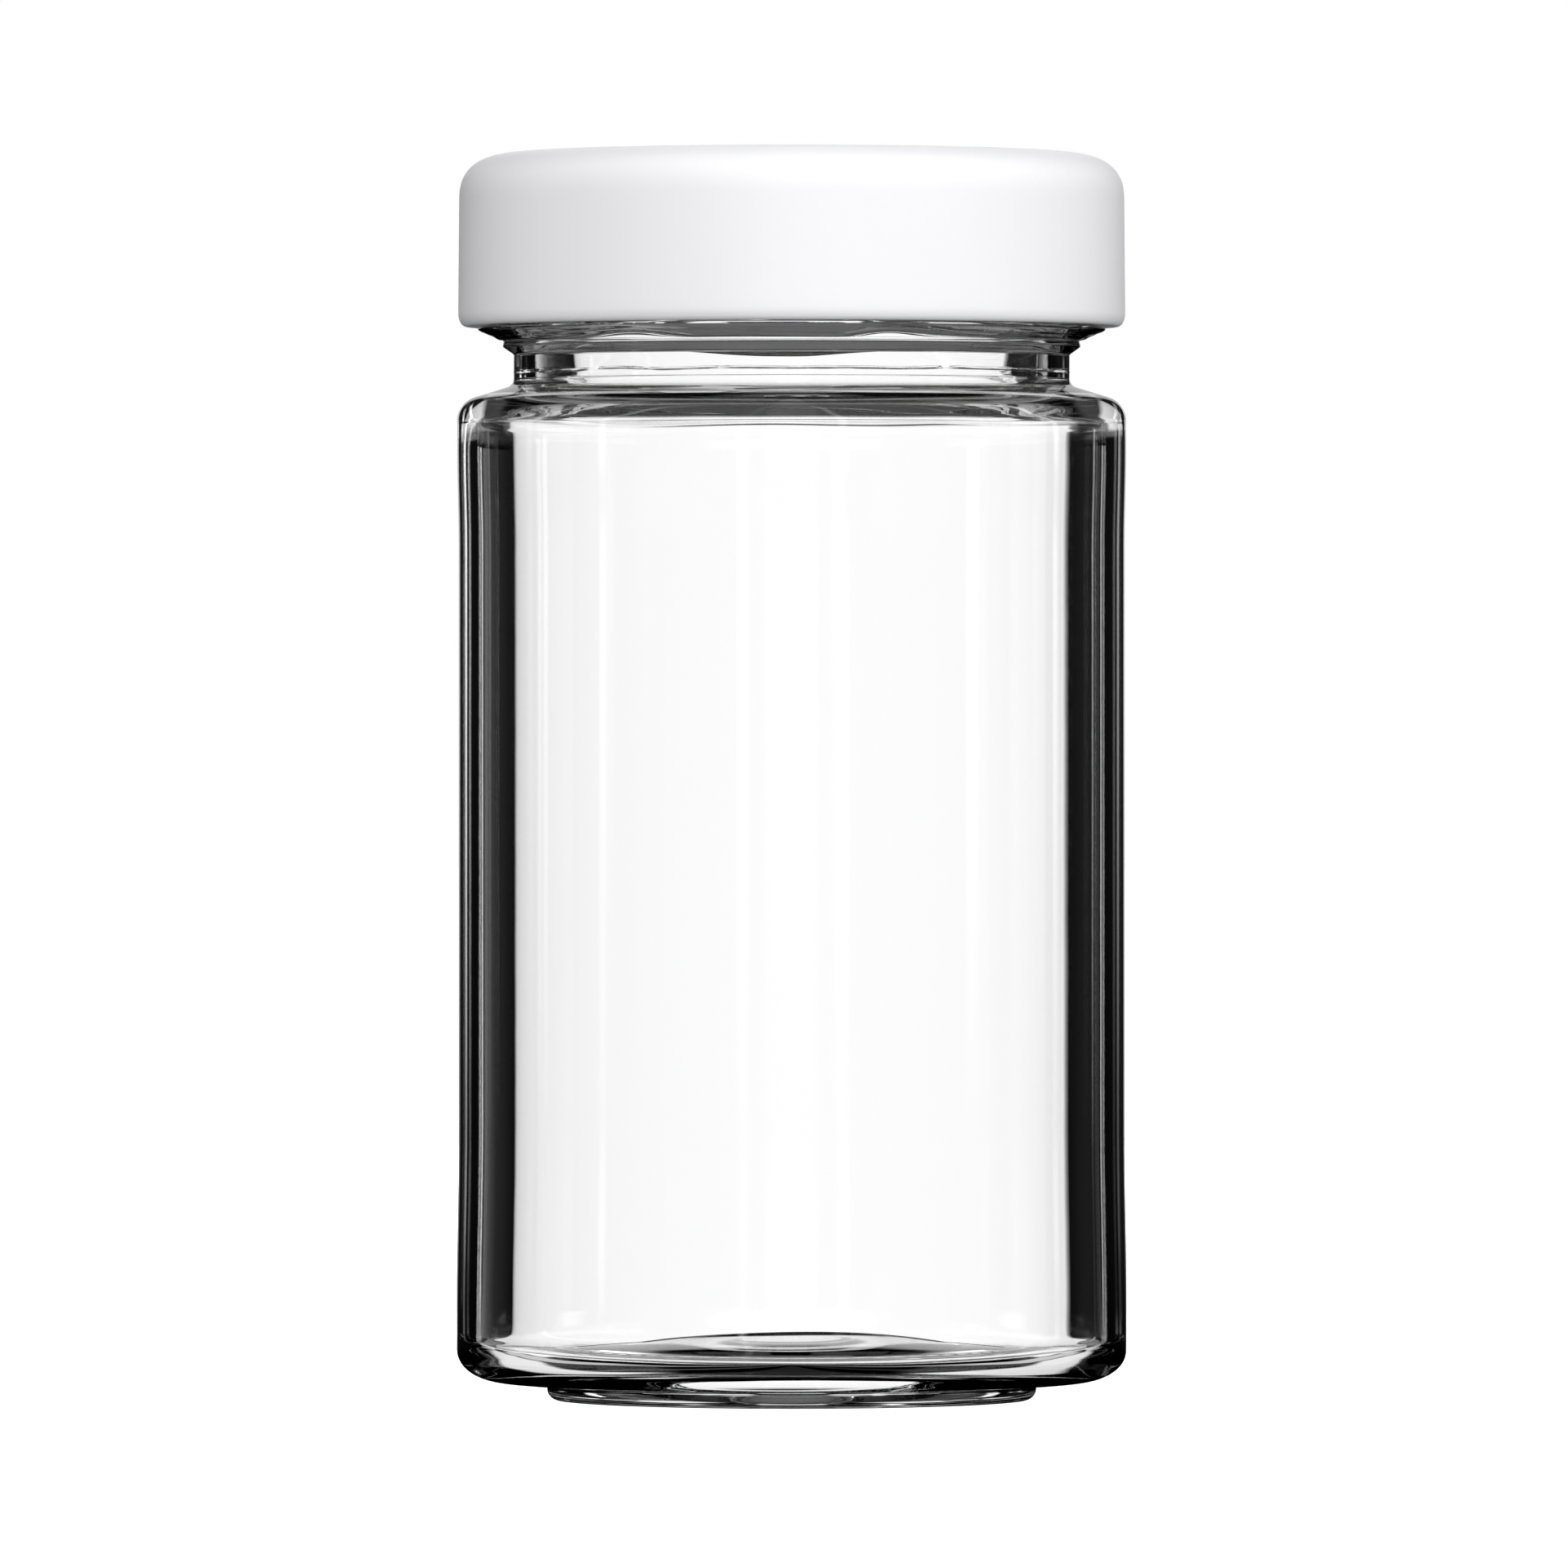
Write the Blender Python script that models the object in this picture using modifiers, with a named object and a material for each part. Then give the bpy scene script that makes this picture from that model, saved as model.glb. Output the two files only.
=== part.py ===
"""Glass canning jar with a deep white twist-off lid.

Metres, +Z up. The jar stands on z = 0 and its axis is the Z axis. The heights are worked out
from the base up: foot, body, shoulder, neck, bead, then the lid that stands just over the
bead, and last the sealing rim, which meets the seal inside the lid.
"""

import math

import bmesh
import bpy

COLLECTION = "glass_canning_jar"

# Fineness of the round shapes
TURN_STEPS = 56
MERGE_DISTANCE = 0.00001
SHARP_ANGLE = math.radians(35)

# What touching pieces keep between them
SEAT_GAP = 0.0003

# Foot, the ring that the jar stands on
FOOT_HEIGHT = 0.00186
FOOT_CORNER = 0.0012
FOOT_FILLET = 0.0004
BEARING_WIDTH = 0.0028
BEARING_INNER_CORNER = 0.0007
PUSH_UP_RING_HEIGHT = 0.0013
PUSH_UP_CROWN = 0.0017

# Body
HEEL_STANDOUT = 0.00015
HEEL_CORNER_RUN = 0.0052
HEEL_CORNER_RISE = 0.0034
HEEL_CORNER_POWER = 2.1
HEEL_BAND = 0.0018
HEEL_STAND = 0.00025
PANEL_LOWER_RUN = 0.022
PANEL_UPPER_RUN = 0.010
SHOULDER_STAND = 0.00015
SHOULDER_BAND = 0.0024
BODY_HEIGHT = 0.10345
BODY_WALL = 0.0020

# Inside of the base
FLOOR_THICKNESS = 0.0029
FLOOR_CORNER = 0.0022
FLOOR_CROWN = 0.0027
FLOOR_CROWN_RADIUS = 0.0285
FLOOR_CROWN_POWER = 1.6

# Shoulder
SHOULDER_RISE = 0.0018
SHOULDER_CORNER = 0.0024
SHOULDER_SETDOWN = 0.0011
SHOULDER_INNER_CORNER = 0.0022
NECK_FILLET = 0.0009

# Neck and bead
NECK_SETBACK = 0.00255
NECK_WALL = 0.0021
NECK_HEIGHT = 0.0032
NECK_INNER_CORNER = 0.0020
COLLAR_REACH = 0.00115
COLLAR_STEP = 0.0009
COLLAR_HEIGHT = 0.0005
COLLAR_ROUND = 0.0002
BEAD_REACH = 0.0017
BEAD_FLANK = 0.0013
BEAD_ROUND = 0.0002
BEAD_SHELF = 0.0004

# Finish, the part of the neck inside the lid
FINISH_RADIUS = 0.0314
FINISH_WALL = 0.0042
RIM_ROUND = 0.0014

# Lid
LID_DRAFT = 0.0001
LID_HEIGHT = 0.0180
LID_SHEET = 0.00025
LID_STANDOFF = 0.0002
LID_CORNER_RUN = 0.0068
LID_CORNER_DROP = 0.0050
LID_CORNER_POWER = 2.6
LAND_WIDTH = 0.0011
STACKING_CLEARANCE = 0.0006
PANEL_DEPTH = 0.0005
PANEL_STEP_RUN = 0.0006
BUTTON_RADIUS = 0.0090
BUTTON_RUN = 0.0020
BUTTON_HEIGHT = 0.0003
CURL_WIDTH = 0.0016
CURL_HEIGHT = 0.0027
LUG_COUNT = 4
LUG_SPREAD = math.radians(34)
LUG_REACH = 0.0012
LUG_CLEARANCE = 0.0004
LUG_THICKNESS = 0.0013

# Seal, the ring of soft compound that lines the lid over the rim
SEAL_THICKNESS = 0.0011
SEAL_INNER_OVERHANG = 0.0004
SEAL_OUTER_OVERHANG = 0.0008
SEAL_ROUND = 0.0003

# Heights that follow from the sizes above, base to top
neck_base = BODY_HEIGHT + SHOULDER_RISE
neck_top = neck_base + NECK_HEIGHT
collar_top = neck_top + COLLAR_STEP + COLLAR_HEIGHT
bead_top = collar_top + BEAD_FLANK
lid_bottom = bead_top + LID_STANDOFF
lid_top = lid_bottom + LID_HEIGHT
curl_top = lid_bottom + CURL_HEIGHT

# Radii that follow. The lid clears the finish by its lugs, the body stands flush under the
# lid, and the foot nests in the lid of the jar below.
neck_radius = FINISH_RADIUS - NECK_SETBACK
neck_bore = neck_radius - NECK_WALL
collar_radius = neck_radius + COLLAR_REACH
bead_radius = FINISH_RADIUS + BEAD_REACH
mouth_radius = FINISH_RADIUS - FINISH_WALL
rim_middle = (FINISH_RADIUS + mouth_radius) / 2
curl_inside = FINISH_RADIUS + LUG_CLEARANCE + LUG_REACH
curl_middle = curl_inside + CURL_WIDTH / 2
lid_radius = curl_inside + CURL_WIDTH
heel_radius = lid_radius + HEEL_STANDOUT
body_radius = heel_radius - HEEL_STAND
body_bore = body_radius - BODY_WALL
shoulder_radius = body_radius + SHOULDER_STAND
lid_upper_radius = lid_radius - LID_DRAFT
crown_radius = lid_upper_radius - LID_CORNER_RUN
panel_radius = crown_radius - LAND_WIDTH - PANEL_STEP_RUN
foot_radius = panel_radius - STACKING_CLEARANCE


def ramp(start, end, count):
    """count values from start to end, both included."""
    return [start + (end - start) * i / (count - 1) for i in range(count)]


def eased_run(start, end, count):
    """Points from start to end, level with Z at both ends, for a blend between two radii."""
    (r0, z0), (r1, z1) = start, end
    return [
        (r0 + (r1 - r0) * (1 - math.cos(math.pi * share)) / 2, z0 + (z1 - z0) * share)
        for share in ramp(0, 1, count)
    ]


def crown(edge_radius, edge_height, rise, power, count):
    """Points from the axis out to edge_radius over a mound, flatter on top with a higher power."""
    return [
        (r, edge_height + rise * math.cos(math.pi / 2 * (r / edge_radius) ** power) ** 2)
        for r in ramp(0, edge_radius, count)
    ]


def soft_corner(outer_radius, run, tangent_height, drop, power, count):
    """A superellipse quarter from the upright at outer_radius to the level, run further in."""
    points = []
    for angle in ramp(0, math.pi / 2, count):
        r = outer_radius - run + run * math.cos(angle) ** (2 / power)
        points.append((r, tangent_height + drop * math.sin(angle) ** (2 / power)))
    return points


def corner_angles(before, corner, after):
    """Half the opening at a corner, the way into it, and whether the opening lies to the left."""
    to_before = math.atan2(before[1] - corner[1], before[0] - corner[0])
    to_after = math.atan2(after[1] - corner[1], after[0] - corner[0])
    opening = (to_after - to_before) % (2 * math.pi)
    if opening > math.pi:
        half = math.pi - opening / 2
        return half, to_before - half, True
    return opening / 2, to_before + opening / 2, False


def fillet_shares(corners):
    """How much of each corner's fillet fits on the lines beside it, from 0 to 1."""
    reaches = [0] * len(corners)
    for i in range(1, len(corners) - 1):
        half, _, _ = corner_angles(*corners[i - 1 : i + 2])
        reaches[i] = corners[i][2] / math.tan(half)
    shares = [1] * len(corners)
    for i in range(len(corners) - 1):
        length = math.dist(corners[i][:2], corners[i + 1][:2])
        taken = reaches[i] + reaches[i + 1]
        fits = min(1, length / taken) if taken else 1
        shares[i] = min(shares[i], fits)
        shares[i + 1] = min(shares[i + 1], fits)
    return shares


def rounded(corners):
    """A line through corners (radius, height, fillet, steps), each corner a tangent arc."""
    path = []
    shares = fillet_shares(corners)
    for i, (r, z, fillet, steps) in enumerate(corners):
        if steps == 0:
            path.append((r, z))
            continue
        half, middle, left = corner_angles(*corners[i - 1 : i + 2])
        radius = fillet * shares[i]
        reach = radius / math.sin(half)
        centre = (r + reach * math.cos(middle), z + reach * math.sin(middle))
        sweep = (math.pi - 2 * half) * (1 if left else -1)
        for share in ramp(0, 1, steps + 1):
            angle = middle + math.pi + sweep * (share - 1 / 2)
            path.append((centre[0] + radius * math.cos(angle), centre[1] + radius * math.sin(angle)))
    return path


def lid_skin(radius):
    """Height of the lid's outer skin over a radius on its soft corner."""
    across = max(0, (radius - crown_radius) / LID_CORNER_RUN)
    return lid_top - LID_CORNER_DROP * (1 - (1 - across**LID_CORNER_POWER) ** (1 / LID_CORNER_POWER))


seal_top_at_rim = lid_skin(rim_middle) - LID_SHEET - SEAT_GAP
seal_bottom = seal_top_at_rim - SEAL_THICKNESS
rim_height = seal_bottom - SEAT_GAP


def jar_profile():
    """The jar's whole section, from the middle of the floor inside to the middle underneath."""
    floor = PUSH_UP_RING_HEIGHT + FLOOR_THICKNESS
    inside = rounded(
        [
            (FLOOR_CROWN_RADIUS, floor, 0, 0),
            (body_bore, floor, FLOOR_CORNER, 5),
            (body_bore, BODY_HEIGHT - SHOULDER_SETDOWN, SHOULDER_INNER_CORNER, 5),
            (neck_bore, neck_base - SHOULDER_SETDOWN, NECK_INNER_CORNER, 3),
            (mouth_radius, rim_height, RIM_ROUND, 3),
            (FINISH_RADIUS, rim_height, RIM_ROUND, 3),
            (FINISH_RADIUS, bead_top + BEAD_SHELF, 0, 0),
            (bead_radius, bead_top, BEAD_ROUND, 2),
            (collar_radius, collar_top, COLLAR_ROUND, 1),
            (collar_radius, neck_top + COLLAR_STEP, COLLAR_ROUND, 1),
            (neck_radius, neck_top, COLLAR_ROUND, 1),
            (neck_radius, neck_base, NECK_FILLET, 3),
            (shoulder_radius, BODY_HEIGHT, SHOULDER_CORNER, 5),
            (shoulder_radius, BODY_HEIGHT - SHOULDER_CORNER, 0, 0),
        ]
    )
    band_bottom = BODY_HEIGHT - SHOULDER_CORNER - SHOULDER_BAND
    heel_top = FOOT_HEIGHT + HEEL_CORNER_RISE + HEEL_BAND
    upper = eased_run(
        (shoulder_radius, band_bottom), (body_radius, band_bottom - PANEL_UPPER_RUN), 3
    )
    lower = eased_run((body_radius, heel_top + PANEL_LOWER_RUN), (heel_radius, heel_top), 4)
    heel = soft_corner(
        heel_radius,
        HEEL_CORNER_RUN,
        FOOT_HEIGHT + HEEL_CORNER_RISE,
        -HEEL_CORNER_RISE,
        HEEL_CORNER_POWER,
        7,
    )
    bearing_inside = foot_radius - BEARING_WIDTH
    push_up_edge = bearing_inside - PUSH_UP_RING_HEIGHT
    foot = rounded(
        [
            heel[-1] + (0, 0),
            (foot_radius, FOOT_HEIGHT, FOOT_FILLET, 2),
            (foot_radius, 0, FOOT_CORNER, 3),
            (bearing_inside, 0, BEARING_INNER_CORNER, 2),
            (push_up_edge, PUSH_UP_RING_HEIGHT, 0, 0),
        ]
    )
    underneath = crown(push_up_edge, PUSH_UP_RING_HEIGHT, PUSH_UP_CROWN, 1, 5)
    mound = crown(FLOOR_CROWN_RADIUS, floor, FLOOR_CROWN, FLOOR_CROWN_POWER, 7)
    return mound + inside[1:-1] + upper + lower + heel + foot[1:] + underneath[-2::-1]


def lid_profile():
    """The outer skin of the lid, from the middle of its top to the end of the curl."""
    panel = lid_top - PANEL_DEPTH
    top = [
        (0, panel + BUTTON_HEIGHT),
        (BUTTON_RADIUS - BUTTON_RUN, panel + BUTTON_HEIGHT),
        (BUTTON_RADIUS, panel),
        (panel_radius, panel),
        (panel_radius + PANEL_STEP_RUN, lid_top),
    ]
    tangent_height = lid_top - LID_CORNER_DROP
    corner = soft_corner(
        lid_upper_radius, LID_CORNER_RUN, tangent_height, LID_CORNER_DROP, LID_CORNER_POWER, 9
    )
    curl = []
    for angle in ramp(0, 1.5 * math.pi, 10):
        r = curl_middle + CURL_WIDTH / 2 * math.cos(angle)
        curl.append((r, lid_bottom + CURL_HEIGHT / 2 * (1 - math.sin(angle))))
    return top + corner[::-1] + curl


def seal_profile():
    """The seal's section, a closed ring. Its top follows the underside of the lid."""
    inner = mouth_radius - SEAL_INNER_OVERHANG
    outer = FINISH_RADIUS + SEAL_OUTER_OVERHANG
    under_lid = LID_SHEET + SEAT_GAP
    top = [(r, lid_skin(r) - under_lid) for r in ramp(inner, outer, 5)]
    edge = rounded(
        [top[-1] + (0, 0), (outer, seal_bottom, SEAL_ROUND, 2), (inner, seal_bottom, SEAL_ROUND, 2)]
        + [top[0] + (0, 0)]
    )
    return top + edge[1:]


def material(name, colour, roughness, metallic=0.0, transmission=0.0):
    """A Principled material with its plain values."""
    made = bpy.data.materials.new(name)
    made.use_nodes = True
    shader = made.node_tree.nodes["Principled BSDF"]
    shader.inputs["Base Color"].default_value = (*colour, 1)
    shader.inputs["Roughness"].default_value = roughness
    shader.inputs["Metallic"].default_value = metallic
    shader.inputs["Transmission Weight"].default_value = transmission
    made.diffuse_color = (*colour, 1)
    return made


def collection(name):
    """A new collection in the scene."""
    made = bpy.data.collections.new(name)
    bpy.context.scene.collection.children.link(made)
    return made


def line_mesh(name, points, base):
    """A mesh of edges through points, in the XZ plane, with heights counted from base."""
    mesh = bpy.data.meshes.new(name)
    bm = bmesh.new()
    corners = [bm.verts.new((r, 0, z - base)) for r, z in points]
    for a, b in zip(corners, corners[1:]):
        bm.edges.new((a, b))
    bm.to_mesh(mesh)
    bm.free()
    return mesh


def add_turn(piece):
    """Turns the piece's section about its Z axis into a full round."""
    turn = piece.modifiers.new("turn", "SCREW")
    turn.axis = "Z"
    turn.angle = 2 * math.pi
    turn.steps = TURN_STEPS
    turn.render_steps = TURN_STEPS
    turn.use_merge_vertices = True
    turn.merge_threshold = MERGE_DISTANCE
    turn.use_smooth_shade = True


def settle(piece):
    """Replaces the piece's mesh by what its modifiers make, and takes them away."""
    bpy.context.view_layer.update()
    evaluated = piece.evaluated_get(bpy.context.evaluated_depsgraph_get())
    mesh = bpy.data.meshes.new_from_object(evaluated)
    piece.modifiers.clear()
    piece.data = mesh


def press_lugs(mesh, base):
    """Presses the inner side of the curl in at even places, as the dies that form lugs do."""
    bm = bmesh.new()
    bm.from_mesh(mesh)
    curl_centre_height = lid_bottom - base + CURL_HEIGHT / 2
    for vert in bm.verts:
        r = math.hypot(vert.co.x, vert.co.y)
        if vert.co.z > curl_top - base + MERGE_DISTANCE or r > curl_middle:
            continue
        pitch = 2 * math.pi / LUG_COUNT
        around = math.atan2(vert.co.y, vert.co.x) % pitch
        off_middle = abs(around - pitch / 2)
        if off_middle > LUG_SPREAD / 2:
            continue
        along = min(1, 2 * (1 - 2 * off_middle / LUG_SPREAD))
        depth = math.sqrt((curl_middle - r) / (CURL_WIDTH / 2))
        pressed = r - LUG_REACH * along * depth
        flat = 1 - (1 - LUG_THICKNESS / CURL_HEIGHT) * along * depth
        vert.co.x *= pressed / r
        vert.co.y *= pressed / r
        vert.co.z = curl_centre_height + (vert.co.z - curl_centre_height) * flat
    bm.to_mesh(mesh)
    bm.free()


def finish_piece(piece, look, into, parent=None):
    """Gives the piece its material, collection and parent."""
    piece.data.materials.append(look)
    into.objects.link(piece)
    piece.parent = parent


def make_jar(into):
    """The glass jar, one turned body open at the mouth."""
    piece = bpy.data.objects.new("glass_jar", line_mesh("glass_jar", jar_profile(), 0))
    finish_piece(piece, material("flint_glass", (0.93, 0.95, 0.94), 0.02, 0, 1), into)
    add_turn(piece)


def make_lid(into, axis):
    """The tinplate lid, a turned skin with a rolled curl, pressed lugs and a sheet thickness."""
    piece = bpy.data.objects.new("lid_shell", line_mesh("lid_shell", lid_profile(), lid_bottom))
    into.objects.link(piece)
    add_turn(piece)
    settle(piece)
    into.objects.unlink(piece)
    press_lugs(piece.data, lid_bottom)
    finish_piece(piece, material("white_lacquer", (0.86, 0.86, 0.87), 0.35), into, axis)
    sheet = piece.modifiers.new("sheet", "SOLIDIFY")
    sheet.thickness = LID_SHEET
    sheet.offset = -1
    sheet.use_even_offset = True


def make_seal(into, axis):
    """The soft seal, a turned ring."""
    piece = bpy.data.objects.new("sealing_ring", line_mesh("sealing_ring", seal_profile(), lid_bottom))
    finish_piece(piece, material("plastisol", (0.82, 0.80, 0.74), 0.55), into, axis)
    add_turn(piece)


def main():
    """Builds the jar, its lid and its seal in their closed places."""
    for old in list(bpy.data.objects):
        bpy.data.objects.remove(old)
    parts = collection(COLLECTION)
    make_jar(parts)
    lid_axis = bpy.data.objects.new("lid_axis", None)
    lid_axis.location = (0, 0, lid_bottom)
    parts.objects.link(lid_axis)
    make_lid(parts, lid_axis)
    make_seal(parts, lid_axis)
    for piece in parts.objects:
        if piece.type == "MESH":
            piece.data.shade_smooth()
            piece.data.set_sharp_from_angle(angle=SHARP_ANGLE)


main()
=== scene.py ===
"""Glass canning jar with a deep white twist-off lid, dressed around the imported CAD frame.

Metres, +Z up, the jar's axis on the Z axis and its foot on z = 0. Heights and radii repeat the
CAD source's named sizes. Angles round the jar start at +X and grow anticlockwise from above.
"""

import math

import bmesh
import bpy
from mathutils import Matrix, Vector, noise


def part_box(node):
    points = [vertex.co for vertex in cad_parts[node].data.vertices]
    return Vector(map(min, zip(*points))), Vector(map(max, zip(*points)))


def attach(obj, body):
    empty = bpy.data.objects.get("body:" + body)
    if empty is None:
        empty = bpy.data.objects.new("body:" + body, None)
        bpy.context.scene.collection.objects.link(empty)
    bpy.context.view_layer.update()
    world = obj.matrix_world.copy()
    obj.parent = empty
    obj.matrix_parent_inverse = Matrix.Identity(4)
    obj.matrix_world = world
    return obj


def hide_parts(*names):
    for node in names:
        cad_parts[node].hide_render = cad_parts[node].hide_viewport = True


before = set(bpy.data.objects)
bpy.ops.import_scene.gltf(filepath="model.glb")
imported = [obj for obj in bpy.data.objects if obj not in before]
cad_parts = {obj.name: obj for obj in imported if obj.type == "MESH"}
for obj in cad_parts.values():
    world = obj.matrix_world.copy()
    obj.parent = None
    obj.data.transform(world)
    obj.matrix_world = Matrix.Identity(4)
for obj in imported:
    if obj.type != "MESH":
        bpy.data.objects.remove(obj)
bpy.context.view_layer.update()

bl_info = {
    "name": "Glass canning jar",
    "version": (1, 0, 0),
    "blender": (4, 5, 0),
    "location": "View3D > Sidebar > Canning jar",
    "description": "Builds a glass canning jar, its twist-off lid and seal, and a bright studio",
    "category": "Add Mesh",
}

LID_LOW, LID_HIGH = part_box("lid_shell")
SEAL_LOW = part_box("sealing_ring")[0]
MM = 0.001

# Fineness: the steps in a short arc, how many arcs make up each round, and the height of a row
# of faces where the glass has fine detail
BLOCK_STEPS = 8
JAR_BLOCKS = 36
LID_BLOCKS = 32
SEAL_BLOCKS = 24
FINE_ROW = 0.00024
MERGE = 1e-6
SHARP_ANGLE = math.radians(38)

# The jar's foot, heel and floor
FOOT_HEIGHT = 0.00186
BEARING_WIDTH = 0.0028
PUSH_UP_EDGE = 0.0013
HEEL_RISE = 0.0034
HEEL_RUN = 0.0052
HEEL_POWER = 2.1
HEEL_BAND = 0.0018
FLOOR_RADIUS = 0.0285
FLOOR_CROWN = 0.0027
FLOOR_POWER = 1.6

# The label panel's soft ends, the shoulder's straight band, and the shoulder inside
PANEL_FOOT = 0.022
PANEL_HEAD = 0.010
SHOULDER_BAND = 0.0048
SHOULDER_TOP = 0.0030
INNER_SHOULDER_DROP = 0.00105
INNER_NECK_DROP = 0.0011

# Neck, collar and bead
NECK_BASE_RISE = 0.0018
NECK_HEIGHT = 0.0032
NECK_WALL = 0.0021
NECK_LEAN = 0.0002
BORE_RISE = 0.001
COLLAR_TOP = 0.0014
COLLAR_LEAN = 0.00007
COLLAR_LIP = 0.0002
COLLAR_NICK = 0.00012
COLLAR_NICK_FOOT = 0.00026
COLLAR_STEP = 0.0006
BEAD_FLANK = 0.0013
BEAD_SHELF = 0.0004

# The rim: the gap that the seal keeps to jar and lid in the CAD, and the rim's rounding
SEAT_GAP = 0.0003
RIM_ROUND = 0.0014

# Thread ramps: their number, the height of one's level part, where the fine rows for them end,
# half its width, then in radians its length, its level part and its soft ends, and last its rise
# in each radian after the level part
THREADS = 4
THREAD_LEVEL = 0.1149
THREAD_TOP = 0.1206
THREAD_WIDTH = 0.0011
THREAD_LENGTH = 1.9
THREAD_FLAT = 1.0
THREAD_END = 0.25
THREAD_RISE = 0.0048

# Marks of the mould: knurls on the bearing ring, a seam at each side, the neck ring's line
KNURL_COUNT = 72
KNURL_DEPTH = 0.00012
KNURL_INSET = 0.0020
KNURL_WIDTH = 0.0009
SEAM_HEIGHT = 0.00005
SEAM_WIDTH = 0.0009
SEAM_FOOT = 0.004
RING_LEVEL = 0.1066
RING_WANDER = 0.00025
RING_TREMBLE = 0.00006
RING_WIDTH = 0.00014
RING_TURN = 3
RING_JITTER = 6
RING_BREAKS = 4
RING_SHARE = 0.55
RING_SEED = Vector((0, 0, 7))

# The collar's uneven top edge, and the ripples on the bead's flank over it
COLLAR_RISE = 0.0009
COLLAR_MOST = 0.0006
COLLAR_INSET = 0.0003
COLLAR_FOLLOW = -0.2
COLLAR_TURN = 2.6
COLLAR_SHARE = 0.05
COLLAR_SEED = Vector((0, 0, 89.91))
FLANK_WAVES = 0.00016
FLANK_TURN = 3
FLANK_STEP = 0.0007

# Soft waves: where they fade out over the base and in under the shoulder, how strong they are
# on the neck, how far they stay under the rim, and their size round the jar, up it and inward
WAVES_LOW = 0.0085
WAVES_LOW_FADE = 0.003
WAVES_HIGH = 0.0985
WAVES_HIGH_FADE = 0.004
WAVES_NECK = 0.3
WAVES_UNDER_RIM = 0.004
WAVE_TURN = 2.4
WAVE_RISE = 0.0017
WAVE_RUN = 0.0009

# Lid and seal
CROWN_RUN = 0.0068
CROWN_DROP = 0.0050
CROWN_POWER = 2.6
LAND_WIDTH = 0.0011
PANEL_RUN = 0.0006
BUTTON_SLOPE = 0.002
CURL_SWEEP = 1.6 * math.pi
CURL_STEPS = 27
LUG_CENTRE = math.radians(45)
LUG_SPREAD = math.radians(34)
SEAL_STEPS = 9
DENT_STEPS = 10

# Places of the Mix node's sockets, which share their names
FACTOR = 0
NUMBER_A, NUMBER_B = 2, 3
COLOUR_A, COLOUR_B = 6, 7
MIXED_COLOUR = 2


def size(name, text, value):
    """A length that a user can set, in metres."""
    return bpy.props.FloatProperty(
        name=name, description=text, default=value, min=0, precision=5, unit="LENGTH",
        subtype="DISTANCE",
    )


def linear(code):
    """A linear colour with alpha from a written sRGB colour such as #F4F4F6."""
    shares = [int(code[i : i + 2], 16) / 255 for i in (1, 3, 5)]
    return [s / 12.92 if s <= 0.04045 else ((s + 0.055) / 1.055) ** 2.4 for s in shares] + [1]


def tint(name, text, code):
    """A colour that a user can set."""
    return bpy.props.FloatVectorProperty(
        name=name, description=text, default=linear(code)[:3], size=3, min=0, max=1,
        subtype="COLOR",
    )


class JarSizes(bpy.types.PropertyGroup):
    """Sizes and colour of the glass."""

    panel_radius: size("Panel radius", "Outside of the straight label panel", 0.0345)
    heel_stand: size("Heel stand", "How far the heel stands out past the panel", 0.00025)
    shoulder_stand: size(
        "Shoulder stand", "How far the shoulder stands out past the panel", 0.00015
    )
    body_height: size("Body height", "Height where the shoulder's slope begins", 0.10345)
    wall: size("Wall", "Thickness of the side wall", 0.0020)
    floor: size("Floor", "Height of the inside of the base beside the wall", 0.0042)
    foot_radius: size("Foot radius", "Outside of the stacking foot", 0.0254)
    push_up: size("Push-up", "Height of the hollow under the base", 0.0030)
    neck_radius: size("Neck radius", "Outside of the narrow neck", 0.02885)
    collar_radius: size("Collar radius", "Outside of the small collar over the neck", 0.0300)
    bead_radius: size("Bead radius", "Outside of the bead under the lid", 0.0331)
    finish_radius: size("Finish radius", "Outside of the part inside the lid", 0.0314)
    mouth_radius: size("Mouth radius", "Inside of the mouth at the rim", 0.0272)
    thread_height: size("Thread height", "How far each thread ramp stands out", 0.0011)
    waviness: size("Waviness", "Height of the soft waves where the glass set unevenly", 0.00003)
    ring_height: size("Ring height", "How far the neck ring's parting line stands out", 0.00006)
    glass: tint("Glass", "Colour of the clear flint glass", "#FEFEFE")


class LidSizes(bpy.types.PropertyGroup):
    """Sizes and colour of the lid."""

    radius: size("Radius", "Outside of the curl at the lid's foot", LID_HIGH.x)
    draft: size("Draft", "How much narrower the skirt is at the top", 0.0001)
    sheet: size("Sheet", "Thickness of the tinplate", 0.00025)
    panel_depth: size("Panel depth", "How deep the stacking panel is pressed", 0.0005)
    button_radius: size("Button radius", "Outside of the vacuum button", 0.0090)
    button_height: size("Button height", "How far the vacuum button stands up", 0.0003)
    curl_width: size("Curl width", "Width of the rolled edge", 0.0016)
    curl_height: size("Curl height", "Height of the rolled edge", 0.0027)
    lug_reach: size("Lug reach", "How far each lug is pressed inward", 0.0012)
    lug_thickness: size("Lug thickness", "Height of a pressed lug", 0.0013)
    lug_count: bpy.props.IntProperty(
        name="Lugs", description="Lugs pressed out of the curl", default=4, min=2, max=8
    )
    lacquer: tint("Lacquer", "Colour of the baked lacquer", "#F3F3F5")


class SealSizes(bpy.types.PropertyGroup):
    """Sizes and colour of the seal."""

    inner_overhang: size("Inner overhang", "How far the compound passes the rim inward", 0.0004)
    outer_overhang: size("Outer overhang", "How far the compound passes the rim outward", 0.0008)
    dent: size("Dent", "Depth of the groove that the rim has pressed", 0.00012)
    compound: tint("Compound", "Colour of the sealing compound", "#E9E6DD")


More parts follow.
